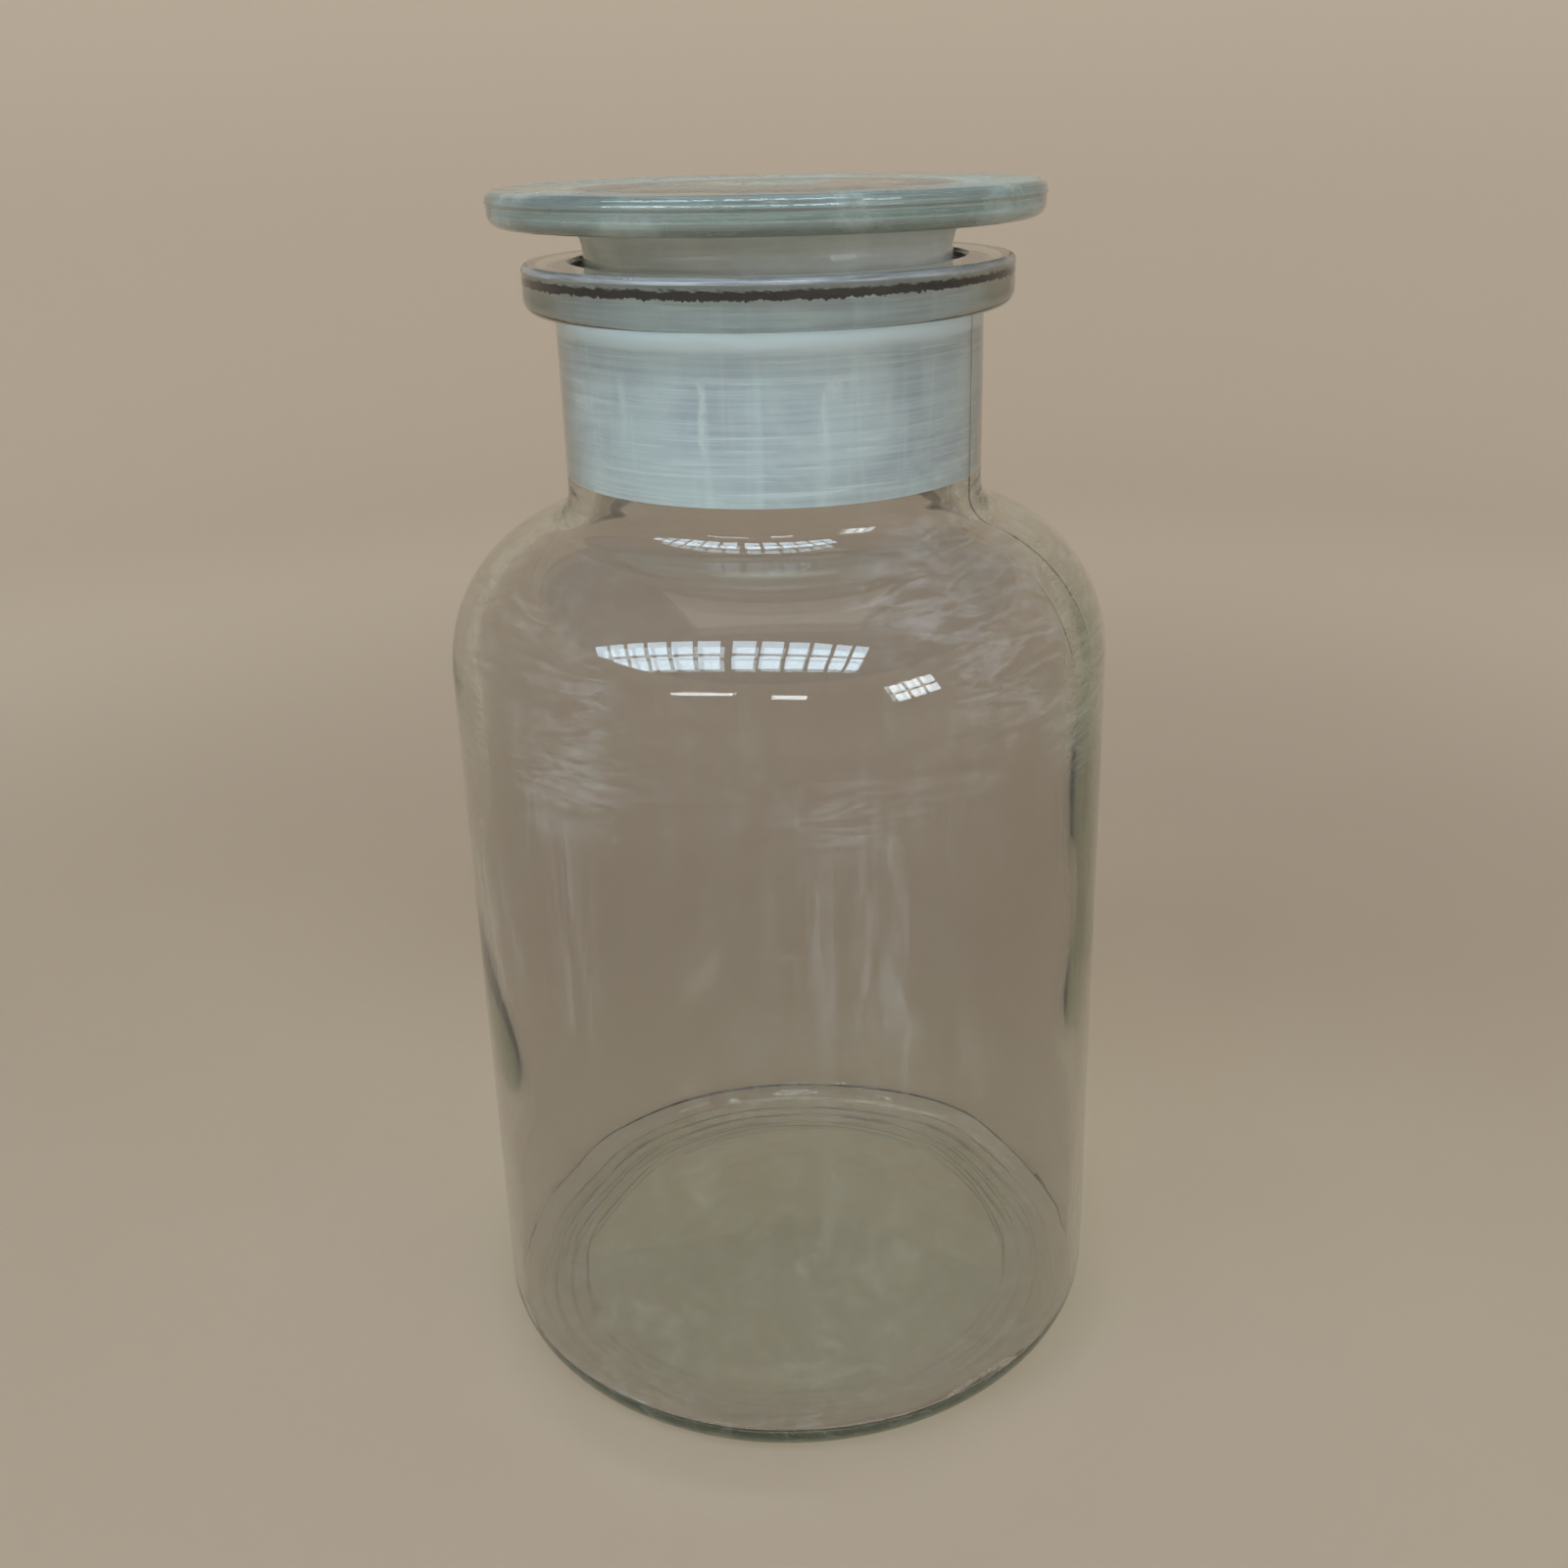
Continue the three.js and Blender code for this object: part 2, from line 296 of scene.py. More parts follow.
def stopper_outline():
    """The stopper's closed outline as (zone, points) stretches, from the hollow round to the head's top."""
    round_height = HOLLOW_TOP_HEIGHT - HOLLOW_TOP_ROUND
    ceiling_edge = (HOLLOW_RADIUS_AT_TOP - HOLLOW_TOP_ROUND, HOLLOW_TOP_HEIGHT)
    hollow_top = (HOLLOW_RADIUS_AT_TOP, round_height)
    hollow_foot = (HOLLOW_RADIUS_AT_FOOT, PLUG_FOOT_HEIGHT)
    foot_radius = bore_radius(PLUG_FOOT_HEIGHT) - JOINT_GAP
    plug_foot = (foot_radius, PLUG_FOOT_HEIGHT + PLUG_EDGE_ROUND)
    plug_top = (bore_radius(PLUG_TOP_HEIGHT) - JOINT_GAP, PLUG_TOP_HEIGHT)
    waist_foot = (WAIST_RADIUS, WAIST_FOOT_HEIGHT)
    flare_radius = WAIST_RADIUS + WAIST_FLARE_WIDTH
    flare_foot = (WAIST_RADIUS, HEAD_UNDERSIDE_HEIGHT - WAIST_FLARE_HEIGHT)
    lower_height = HEAD_UNDERSIDE_HEIGHT + HEAD_LOWER_ROUND
    upper_height = TOTAL_HEIGHT - HEAD_UPPER_ROUND
    head_edge = (HEAD_RADIUS - HEAD_UPPER_ROUND, TOTAL_HEIGHT)
    return [
        ("ceiling", straight((0, HOLLOW_TOP_HEIGHT), ceiling_edge, 2 * MM)),
        ("hollow", arc(ceiling_edge[0], round_height, HOLLOW_TOP_ROUND, 90, 0)),
        ("hollow", straight(hollow_top, hollow_foot, 3 * MM)),
        ("ground", straight(hollow_foot, (foot_radius - PLUG_EDGE_ROUND, PLUG_FOOT_HEIGHT), 2 * MM)),
        ("ground", arc(foot_radius - PLUG_EDGE_ROUND, plug_foot[1], PLUG_EDGE_ROUND, -90, 0)),
        ("ground", straight(plug_foot, plug_top, 2 * MM)),
        ("waist", straight(plug_top, waist_foot, 1 * MM)),
        ("waist", straight(waist_foot, flare_foot, 1 * MM)),
        ("waist", arc(flare_radius, flare_foot[1], WAIST_FLARE_WIDTH, 180, 90, WAIST_FLARE_HEIGHT)),
        ("head_foot", arc(HEAD_RADIUS - HEAD_LOWER_ROUND, lower_height, HEAD_LOWER_ROUND, -90, 0)),
        ("head_edge", straight((HEAD_RADIUS, lower_height), (HEAD_RADIUS, upper_height), 0.2 * MM)),
        ("head", arc(HEAD_RADIUS - HEAD_UPPER_ROUND, upper_height, HEAD_UPPER_ROUND, 0, 90)),
        ("top", straight(head_edge, (HEAD_DISH_RADIUS, TOTAL_HEIGHT), 2 * MM)),
        ("top", dome(HEAD_DISH_RADIUS, TOTAL_HEIGHT, -HEAD_DISH_DEPTH, 1 * MM)[::-1]),
    ]


# ---------------------------------------------------------------- unevenness of the glass
def bump(distance, half_width):
    """A smooth ridge's share of its height at a distance from its middle."""
    return math.exp(-((distance / half_width) ** 2))


def wrapped(angle, middle):
    """Difference between two azimuths in degrees, from -180 to 180."""
    return (angle - middle + 180) % 360 - 180


def seam(azimuth, radius, height):
    """How far the mould seams stand out of the outside at a spot; they die away below the shoulder."""
    reach = 0
    if height < SEAM_GONE_BELOW:
        return reach
    for middle in SEAM_AZIMUTHS:
        across = math.radians(wrapped(azimuth, middle)) * radius
        reach += SEAM_HEIGHT * bump(across, SEAM_HALF_WIDTH)
    return reach * min(1, (height - SEAM_GONE_BELOW) / (SEAM_FADES_BELOW - SEAM_GONE_BELOW))


def swirl(azimuth, height, size, scale, seed):
    """Smooth wandering of a surface, of about the given size, that closes on itself round the axis."""
    angle = math.radians(azimuth)
    spot = Vector((math.cos(angle) * scale, math.sin(angle) * scale, height / (40 * MM) * scale + seed))
    return size * noise.noise(spot)


def thicker(azimuth, height):
    """How much thicker the blown wall is at a spot than its plain outline."""
    extra = 0
    for middle, spread, mid_height, tall, depth in THICK_SPOTS:
        extra += depth * bump(wrapped(azimuth, middle), spread) * bump(height - mid_height, tall)
    return extra


def floor_rings(azimuth, radius):
    """How far the wandering rings round the inner floor's edge and heel stand up at a spot."""
    wander = swirl(azimuth, 0, FLOOR_RINGS_WAVE, 2.4, 21.7)
    rise = 0
    for ring_radius, ring_rise, half_width in FLOOR_RINGS:
        share = 1 + swirl(azimuth, ring_radius * 40, 1.4, 2.0, 14.9)
        rise += share * ring_rise * bump(radius + wander - ring_radius, half_width)
    return rise


def floor_wave(azimuth):
    """How far the inner floor's edge is lifted on one side or another."""
    return swirl(azimuth, 0, FLOOR_WAVE, 2.2, 5.3)


def inner_heel_shift(radius, height, azimuth):
    """Where a point of the plain inner heel really lies: gently sloped and uneven at the back."""
    share = min(1, max(0, (height - FLOOR_EDGE_HEIGHT) / INNER_HEEL_HEIGHT))
    back = 0.5 + 0.5 * math.sin(math.radians(azimuth))
    uneven = 0.3 + 0.7 * back
    height += BACK_HEEL_RISE * back**2 * bump(radius - BACK_HEEL_RADIUS, BACK_HEEL_HALF_WIDTH)
    radius -= uneven * swirl(azimuth, height, INNER_HEEL_WAVE, 2.6, 11.3) * (0.4 + 0.6 * share)
    height += floor_wave(azimuth) * (1 - share)
    height += uneven * swirl(azimuth, 3 * radius, INNER_HEEL_RIPPLE, 5.0, 8.9) * 4 * share * (1 - share)
    return radius, height


def bottle_shift(zone, radius, height, azimuth):
    """Where a point of the bottle's plain outline really lies: its radius and height."""
    if zone in ("shoulder", "neck"):
        radius += seam(azimuth, radius, height)
    if zone in ("side", "shoulder"):
        radius += swirl(azimuth, height, OUTSIDE_WAVE, 1.3, 3.1)
    if zone == "under":
        height -= BASE_RING_REACH * bump(radius - BASE_RING_RADIUS, BASE_RING_HALF_WIDTH)
    if zone == "inside":
        below_neck = min(1, max(0, (BORE_FOOT_HEIGHT - height) / (24 * MM)))
        radius -= below_neck * thicker(azimuth, height)
        share = min(1, max(0, (SHOULDER_START_HEIGHT + 20 * MM - height) / (30 * MM)))
        radius -= share * swirl(azimuth, height, INSIDE_WAVE, 1.3, 7.7)
    if zone == "inner_heel":
        radius, height = inner_heel_shift(radius, height, azimuth)
    if zone == "floor":
        height += floor_wave(azimuth) * min(1, radius / (50 * MM)) ** 2
    if zone in ("inner_heel", "floor"):
        height += floor_rings(azimuth, radius)
    return radius, height


def stopper_shift(zone, radius, height, azimuth):
    """Where a point of the stopper's plain outline really lies: its radius and height."""
    if zone == "head_edge":
        radius += PARTING_LIP_REACH * bump(height - PARTING_LIP_HEIGHT, PARTING_LIP_HALF_WIDTH)
    if zone in ("head_edge", "head", "head_foot"):
        radius += swirl(azimuth, height, HEAD_EDGE_WAVE, 1.5, 2.3)
    if zone in ("top", "ceiling"):
        height += swirl(azimuth, 0, HEAD_FLAT_WAVE, 1.4, 9.1) * min(1, radius / (30 * MM))
    if zone == "hollow":
        radius += swirl(azimuth, height, HOLLOW_WAVE, 1.7, 4.4)
    return radius, height


# ---------------------------------------------------------------- meshes
def azimuths(count, fine_spots):
    """Azimuths in degrees right round, evenly spread, with close columns over each fine spot."""
    step = 360 / count
    around = [i * step for i in range(count)]
    for spot in fine_spots:
        for offset in SEAM_COLUMN_OFFSETS:
            around.append((spot + offset) % 360)
    kept = []
    for angle in sorted(around):
        if not kept or angle - kept[-1] > CLOSEST_COLUMNS:
            kept.append(angle)
    return kept


def rows_of(outline):
    """The outline's points in order with the zone of the stretch that leads to each, joins only once."""
    rows = []
    for zone, points in outline:
        for point in points:
            if rows and math.dist(rows[-1][1], point) < SAME_POINT:
                continue
            rows.append((zone, point))
    return rows


def turned(name, outline, around, shift):
    """A closed mesh object made by turning an outline, every point moved by shift, and its faces' zones."""
    rows = rows_of(outline)
    points = []
    starts = []
    for zone, (radius, height) in rows:
        starts.append(len(points))
        if radius < ON_AXIS:
            points.append((0, 0, shift(zone, 0, height, 0)[1]))
            continue
        for azimuth in around:
            out, up = shift(zone, radius, height, azimuth)
            angle = math.radians(azimuth)
            points.append((out * math.cos(angle), out * math.sin(angle), up))
    faces = []
    zones = []
    count = len(around)
    for i in range(len(rows) - 1):
        low, high = starts[i], starts[i + 1]
        for j in range(count):
            k = (j + 1) % count
            if rows[i][1][0] < ON_AXIS:
                face = (low, high + k, high + j)
            elif rows[i + 1][1][0] < ON_AXIS:
                face = (low + j, low + k, high)
            else:
                face = (low + j, low + k, high + k, high + j)
            faces.append(face)
            zones.append(rows[i + 1][0])
    mesh = bpy.data.meshes.new(name)
    mesh.from_pydata(points, [], faces)
    mesh.validate()
    obj = bpy.data.objects.new(name, mesh)
    bpy.context.scene.collection.objects.link(obj)
    for polygon in mesh.polygons:
        polygon.use_smooth = True
    return obj, zones


def finish_piece(obj, zones, materials, body):
    """Gives each face its zone's material and makes the piece ride on its body."""
    order = []
    for material in materials.values():
        if material not in order:
            order.append(material)
            obj.data.materials.append(material)
    for polygon, zone in zip(obj.data.polygons, zones):
        polygon.material_index = order.index(materials.get(zone, materials["other"]))
    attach(obj, body)


# ---------------------------------------------------------------- materials
class Tree:
    """A material's node tree, with short ways to add and join nodes."""

    def __init__(self, name):
        self.material = bpy.data.materials.new(name)
        self.material.use_nodes = True
        self.tree = self.material.node_tree
        self.tree.nodes.clear()
        self.output = self.add("ShaderNodeOutputMaterial")
        self.place = self.add("ShaderNodeTexCoord").outputs["Object"]

    def add(self, kind, **settings):
        node = self.tree.nodes.new(kind)
        for key, value in settings.items():
            setattr(node, key, value)
        return node

    def feed(self, socket, value):
        """Links a socket's value if it is an output, or sets it if it is plain."""
        if isinstance(value, bpy.types.NodeSocket):
            self.tree.links.new(value, socket)
        else:
            socket.default_value = value

    def stretched(self, scale):
        """The object's own coordinates with each axis scaled."""
        node = self.add("ShaderNodeVectorMath", operation="MULTIPLY")
        self.feed(node.inputs[0], self.place)
        node.inputs[1].default_value = scale
        return node.outputs[0]

    def noise(self, scale, detail=4, roughness=0.55, distortion=0.0):
        """Noise of about 0 to 1 over the object's coordinates; scale is one number or one per axis."""
        node = self.add("ShaderNodeTexNoise")
        if isinstance(scale, tuple):
            self.feed(node.inputs["Vector"], self.stretched(scale))
            node.inputs["Scale"].default_value = 1
        else:
            self.feed(node.inputs["Vector"], self.place)
            node.inputs["Scale"].default_value = scale
        node.inputs["Detail"].default_value = detail
        node.inputs["Roughness"].default_value = roughness
        node.inputs["Distortion"].default_value = distortion
        return node.outputs["Fac"]

    def span(self, value, low, high, to_low=0.0, to_high=1.0):
        """value from low..high taken to to_low..to_high, smoothly and clamped."""
        node = self.add("ShaderNodeMapRange", interpolation_type="SMOOTHSTEP")
        self.feed(node.inputs["Value"], value)
        node.inputs["From Min"].default_value = low
        node.inputs["From Max"].default_value = high
        node.inputs["To Min"].default_value = to_low
        node.inputs["To Max"].default_value = to_high
        return node.outputs["Result"]

    def sum(self, operation, a, b):
        """One arithmetic step."""
        node = self.add("ShaderNodeMath", operation=operation)
        self.feed(node.inputs[0], a)
        self.feed(node.inputs[1], b)
        return node.outputs[0]

    def blend(self, share, a, b):
        """Colour a turning to colour b as share goes from 0 to 1."""
        node = self.add("ShaderNodeMix", data_type="RGBA")
        self.feed(node.inputs["Factor"], share)
        self.feed(node.inputs["A"], a)
        self.feed(node.inputs["B"], b)
        return node.outputs["Result"]

    def bumped(self, height, strength, distance):
        """A normal disturbed by a height pattern."""
        node = self.add("ShaderNodeBump")
        node.inputs["Strength"].default_value = strength
        node.inputs["Distance"].default_value = distance
        self.feed(node.inputs["Height"], height)
        return node.outputs["Normal"]

    def up(self):
        """Height above the floor."""
        node = self.add("ShaderNodeSeparateXYZ")
        self.feed(node.inputs[0], self.place)
        return node.outputs["Z"]

    def out(self):
        """Distance from the axis."""
        flat = self.stretched((1, 1, 0))
        node = self.add("ShaderNodeVectorMath", operation="LENGTH")
        self.feed(node.inputs[0], flat)
        return node.outputs["Value"]

    def away(self):
        """Distance from the middle of the foot."""
        node = self.add("ShaderNodeVectorMath", operation="LENGTH")
        self.feed(node.inputs[0], self.place)
        return node.outputs["Value"]

    def painted_shade_rings(self, spots):
        """Painted shade: thin broken dark rings round the axis, stronger at the back: (radius, height, half
        width).
        """
        reach = 5.0 * MM
        wander = self.sum("MULTIPLY", self.noise((16, 16, 0), 3, 0.6), reach)
        radius = self.sum("SUBTRACT", self.sum("ADD", self.out(), wander), reach / 2)
        whole = 0.0
        for ring_radius, _, half_width in spots:
            off = self.sum("ABSOLUTE", self.sum("SUBTRACT", radius, ring_radius), 0.0)
            whole = self.sum("MAXIMUM", whole, self.span(off, 0.5 * half_width, 0.0))
        split = self.add("ShaderNodeSeparateXYZ")
        self.feed(split.inputs[0], self.place)
        back = self.span(split.outputs["Y"], -40 * MM, 30 * MM, 0.25, 1.0)
        gaps = self.span(self.noise((70, 70, 70), 3, 0.6), 0.36, 0.58, 0.25, 1.0)
        return self.sum("MULTIPLY", whole, self.sum("MULTIPLY", back, gaps))

    def principled(self, **values):
        """The main shader with its sockets fed."""
        node = self.add("ShaderNodeBsdfPrincipled")
        for key, value in values.items():
            self.feed(node.inputs[key.replace("_", " ")], value)
        return node.outputs["BSDF"]

    def mixed(self, share, one, other):
        """Shader one turning to shader other as share goes from 0 to 1."""
        node = self.add("ShaderNodeMixShader")
        self.feed(node.inputs[0], share)
        self.feed(node.inputs[1], one)
        self.feed(node.inputs[2], other)
        return node.outputs[0]

    def mirror(self):
        """A blurred reflection, as ground glass gives when it is met aslant."""
        node = self.add("ShaderNodeBsdfGlossy")
        node.inputs["Color"].default_value = rgb(0.74, 0.74, 0.70)
        node.inputs["Roughness"].default_value = 0.3
        return node.outputs[0]

    def azimuth(self):
        """Azimuth round the axis in degrees, from -180 to 180."""
        split = self.add("ShaderNodeSeparateXYZ")
        self.feed(split.inputs[0], self.place)
        turn = self.sum("ARCTAN2", split.outputs["Y"], split.outputs["X"])
        return self.sum("MULTIPLY", turn, 180 / math.pi)

    def marks(self, spots):
        """Grows to each mark's strength along it: (azimuth, half width, foot, top, strength)."""
        reach = 3.2
        turn = self.sum("ADD", self.azimuth(), self.sum("MULTIPLY", self.noise(170, 4, 0.7), reach))
        height = self.sum("ADD", self.up(), self.sum("MULTIPLY", self.noise(310, 3, 0.6), 2.0 * MM))
        whole = 0.0
        for middle, half_width, foot, top, strength in spots:
            off = self.sum("ABSOLUTE", self.sum("SUBTRACT", turn, middle + reach / 2), 0.0)
            across = self.span(off, 1.5 * half_width, 0.0, 0.0, strength)
            above = self.span(height, foot - 2.0 * MM, foot + 3.0 * MM)
            below = self.span(height, top + 1.5 * MM, top - 0.5 * MM)
            mark = self.sum("MULTIPLY", across, self.sum("MULTIPLY", above, below))
            whole = self.sum("MAXIMUM", whole, mark)
        return self.sum("MULTIPLY", whole, self.span(self.noise(900, 4, 0.7), 0.36, 0.56, 0.45, 1.0))

    def slanting(self):
        """Grows from 0 where the surface is met squarely to 1 where it is met very much aslant."""
        node = self.add("ShaderNodeLayerWeight")
        node.inputs["Blend"].default_value = 0.5
        return node.outputs["Facing"]

    def ragged_ring(self):
        """1 on the ragged ring of grime round the top of the ground bore."""
        slow = self.noise((40, 40, 0), 2, 0.5)
        teeth = self.noise((620, 620, 200), 5, 0.85)
        slow = self.sum("MULTIPLY", slow, 0.9 * MM)
        teeth = self.sum("MULTIPLY", teeth, 2.6 * MM)
        height = self.sum("SUBTRACT", self.up(), self.sum("ADD", slow, teeth))
        lower = self.span(height, GRIME_FOOT_HEIGHT - 0.08 * MM, GRIME_FOOT_HEIGHT + 0.1 * MM)
        mottle = self.noise((500, 500, 1200), 4, 0.7)
        worn = self.sum("ADD", self.up(), self.sum("MULTIPLY", mottle, 1.8 * MM))
        upper = self.span(worn, GRIME_TOP_HEIGHT + 0.25 * MM, GRIME_TOP_HEIGHT - 0.35 * MM)
        return self.sum("MULTIPLY", lower, upper)

    def line(self, height, half_width):
        """1 on a thin level line."""
        off = self.sum("ABSOLUTE", self.sum("SUBTRACT", self.up(), height), 0.0)
        return self.span(off, half_width, 0.6 * half_width)

    def grime(self):
        """The colour of dry old grime, near black with rusty places and pale grains."""
        rust = self.span(self.noise(60, 4, 0.6, 0.5), 0.54, 0.72)
        grain = self.noise(1400, 3, 0.7)
        colour = self.blend(rust, rgb(0.004, 0.003, 0.002), rgb(0.045, 0.018, 0.008))
        return self.blend(self.span(grain, 0.60, 0.74, 0.0, 0.6), colour, rgb(0.12, 0.10, 0.08))

    def finish(self, shader, shade=None, absorb=None, density=0.0):
        """Joins the shader to the output. shade is the colour that lamps' light keeps through the glass."""
        if shade is not None:
            lamp = self.add("ShaderNodeLightPath").outputs["Is Shadow Ray"]
            clear = self.add("ShaderNodeBsdfTransparent")
            clear.inputs["Color"].default_value = shade
            shader = self.mixed(lamp, shader, clear.outputs[0])
        self.tree.links.new(shader, self.output.inputs["Surface"])
        if absorb is not None:
            volume = self.add("ShaderNodeVolumeAbsorption")
            volume.inputs["Color"].default_value = absorb
            volume.inputs["Density"].default_value = density
            self.tree.links.new(volume.outputs[0], self.output.inputs["Volume"])
        return self.material


def rgb(red, green, blue):
    """An opaque colour for a socket."""
    return (red, green, blue, 1)


GLASS_IOR = 1.51
GROUND_CLEAR = 0.38
BOTTLE_VOLUME = {"absorb": rgb(0.44, 0.55, 0.27), "density": 25.0}
STOPPER_VOLUME = {"absorb": rgb(0.30, 0.56, 0.46), "density": 9.0}


def bottle_glass():
    """Old clear glass of the bottle: a faint film, wiping scuffs, fine waves, and a darker heel with thin
    dark rings that are painted shade.
    """
    t = Tree("bottle_glass")
    patches = t.span(t.noise((20, 20, 14), 5, 0.62, 0.8), 0.42, 0.66)
    wipes = t.span(t.noise((60, 60, 320), 5, 0.7, 1.5), 0.44, 0.62)
    smears = t.span(t.noise((210, 210, 22), 5, 0.68, 0.8), 0.46, 0.68)
    streaks = t.blend(t.span(t.up(), UPRIGHT_STREAKS_TOP, LEVEL_STREAKS_FOOT), smears, wipes)
    off_column = t.sum("ABSOLUTE", t.sum("SUBTRACT", t.azimuth(), CLEAN_COLUMN_AZIMUTH), 0.0)
    unwiped = t.span(off_column, 9, 22, 0.15, 1.0)
    hazy = t.sum("MULTIPLY", unwiped, t.span(t.up(), HAZE_FOOT_HEIGHT, HAZE_FULL_HEIGHT, 0.3, 1.0))
    hazy = t.sum("MULTIPLY", hazy, t.span(t.up(), 200 * MM, 226 * MM, 1.0, 0.1))
    film = t.sum("MULTIPLY", t.sum("MULTIPLY", patches, hazy), streaks)
    # low is 1 below 8 mm; it carries both the base's real haze mottle and the heel's painted shade.
    low = t.span(t.up(), 16 * MM, 8 * MM)
    mottle = t.span(t.noise((240, 240, 90), 4, 0.7, 0.8), 0.48, 0.66, 0.0, 0.5)
    film = t.sum("MAXIMUM", film, t.sum("MULTIPLY", low, mottle))
    # Painted shade: the heel glass is tinted darker and browner, with dark rings over the floor ripples,
    # standing in for the shadow under the jar and the shade the ripples refract.
    heel = t.blend(t.span(t.out(), 46 * MM, 55 * MM), rgb(0.80, 0.77, 0.75), rgb(0.77, 0.72, 0.715))
    heel = t.blend(t.painted_shade_rings(FLOOR_RINGS), heel, rgb(0.30, 0.29, 0.26))
    tint = t.blend(low, rgb(0.80, 0.762, 0.755), heel)
    rough = t.sum("ADD", t.sum("MULTIPLY", film, 0.09), 0.012)
    clear = t.sum("SUBTRACT", 0.985, t.sum("MULTIPLY", film, 0.15))
    waves = t.noise((9, 9, 26), 2, 0.5, 0.4)
    scratches = t.noise((40, 40, 900), 3, 0.6, 0.3)
    height = t.sum("ADD", waves, t.sum("MULTIPLY", scratches, 0.004))
    shader = t.principled(
        Base_Color=tint,
        Roughness=rough,
        IOR=GLASS_IOR,
        Transmission_Weight=clear,
        Normal=t.bumped(height, 0.35, 0.4 * MM),
    )
    return t.finish(shader, shade=rgb(0.90, 0.92, 0.89), **BOTTLE_VOLUME)


def ground_glass(name, volume, tone, dirt_and_painted_light=False):
    """Ground glass with the turning lines of the grinding and vertical wipes; the bore's copy also gets
    grime, neck marks and a band of painted light below the rim.
    """
    t = Tree(name)
    clear = GROUND_CLEAR
    dark = rgb(*[0.70 * c for c in tone])
    pale = rgb(*[min(1, 1.28 * c) for c in tone])
    lines = t.noise((14, 14, 1300), 5, 0.75)
    bands = t.noise((6, 6, 420), 2, 0.5)
    cloud = t.noise(46, 4, 0.6, 0.5)
    fine = t.noise((34, 34, 1100), 4, 0.7)
    runs = t.span(t.noise((230, 230, 14), 3, 0.6, 0.4), 0.50, 0.70, 0.0, 0.35)
    glaze = t.span(t.slanting(), 0.24, 0.36, 0.0, 0.6)
    tint = t.blend(t.span(lines, 0.36, 0.60, 0.8, 0.0), rgb(*tone), dark)
    tint = t.blend(t.span(bands, 0.40, 0.62, 0.0, 0.35), tint, dark)
    tint = t.blend(t.span(cloud, 0.42, 0.66, 0.0, 0.45), tint, pale)
    tint = t.blend(t.span(fine, 0.54, 0.66, 0.0, 0.7), tint, pale)
    tint = t.blend(runs, tint, pale)
    if dirt_and_painted_light:
        # Painted light: a paler, less clear band just below the rim, standing in for the light that the
        # rim's glass gathers onto the bore.
        edge = t.sum("ADD", t.up(), t.sum("MULTIPLY", t.noise((60, 60, 300), 3, 0.6), 2.4 * MM))
        painted_light_band = t.span(edge, PAINTED_LIGHT_BAND_FOOT + 0.4 * MM, PAINTED_LIGHT_BAND_FOOT + 2.2 * MM)
        painted_light_band = t.sum("MULTIPLY", painted_light_band, t.span(edge, PAINTED_LIGHT_BAND_TOP + 2.4 * MM, PAINTED_LIGHT_BAND_TOP + 1.2 * MM))
        tint = t.blend(painted_light_band, tint, rgb(0.84, 0.90, 0.98))
        clear = t.span(painted_light_band, 0.0, 1.0, GROUND_CLEAR, 0.12)
        tint = t.blend(t.marks(NECK_MARKS), tint, rgb(0.92, 0.96, 0.97))
        ring = t.ragged_ring()
        tint = t.blend(ring, tint, t.grime())
        bare = t.span(ring, 0.0, 1.0, 1.0, 0.0)
        clear = t.sum("MULTIPLY", clear, bare)
        glaze = t.sum("MULTIPLY", glaze, bare)
    shader = t.principled(
        Base_Color=tint,
        Roughness=t.span(cloud, 0.3, 0.7, 0.5, 0.62),
        IOR=GLASS_IOR,
        Specular_IOR_Level=0.25,
        Transmission_Weight=clear,
        Normal=t.bumped(lines, 0.35, 0.15 * MM),
    )
    shader = t.mixed(glaze, shader, t.mirror())
    return t.finish(shader, shade=rgb(0.62, 0.66, 0.67), **volume)


def worn_glass_painted_highlights():
    """The rim's upper edge, worn and scratched so that it is only half clear; its pale scratch streaks are
    also painted highlights.
    """
    t = Tree("worn_rim_edge_painted_highlights")
    scratches = t.noise((60, 60, 1800), 4, 0.7, 0.5)
    patches = t.noise(90, 3, 0.6)
    # Partly wear, partly painted highlight: the pale bluish scratch streaks stand in for thin reflections
    # along the rounded edge.
    tint = t.blend(t.span(scratches, 0.35, 0.65), rgb(0.34, 0.34, 0.33), rgb(0.66, 0.68, 0.70))
    tint = t.blend(t.span(patches, 0.45, 0.65, 0.0, 0.4), tint, rgb(0.30, 0.29, 0.27))
    shader = t.principled(
        Base_Color=tint,
        Roughness=t.span(patches, 0.35, 0.65, 0.12, 0.32),
        IOR=GLASS_IOR,
        Transmission_Weight=0.45,
        Normal=t.bumped(scratches, 0.3, 0.1 * MM),
    )
    return t.finish(shader, shade=rgb(0.7, 0.72, 0.72), **BOTTLE_VOLUME)


def pressed_edge(name, dark, pale, clear):
    """Pressed glass as the mould left it, slightly rippled, and duller the less clear it is."""
    t = Tree(name)
    ripples = t.noise((30, 30, 500), 4, 0.65, 0.4)
    patches = t.noise(55, 4, 0.6, 0.5)
    grain = t.noise((300, 300, 700), 3, 0.7)
    tint = t.blend(t.span(ripples, 0.38, 0.62), dark, pale)
    tint = t.blend(t.span(grain, 0.40, 0.64, 0.0, 0.5), tint, pale)
    shader = t.principled(
        Base_Color=tint,
        Roughness=t.span(patches, 0.35, 0.65, 0.04, 0.10),
        IOR=GLASS_IOR,
        Transmission_Weight=t.span(patches, 0.40, 0.68, clear, 0.75 * clear),
        Normal=t.bumped(ripples, 0.2, 0.1 * MM),
    )
    return t.finish(shader, shade=rgb(0.88, 0.92, 0.90), **STOPPER_VOLUME)


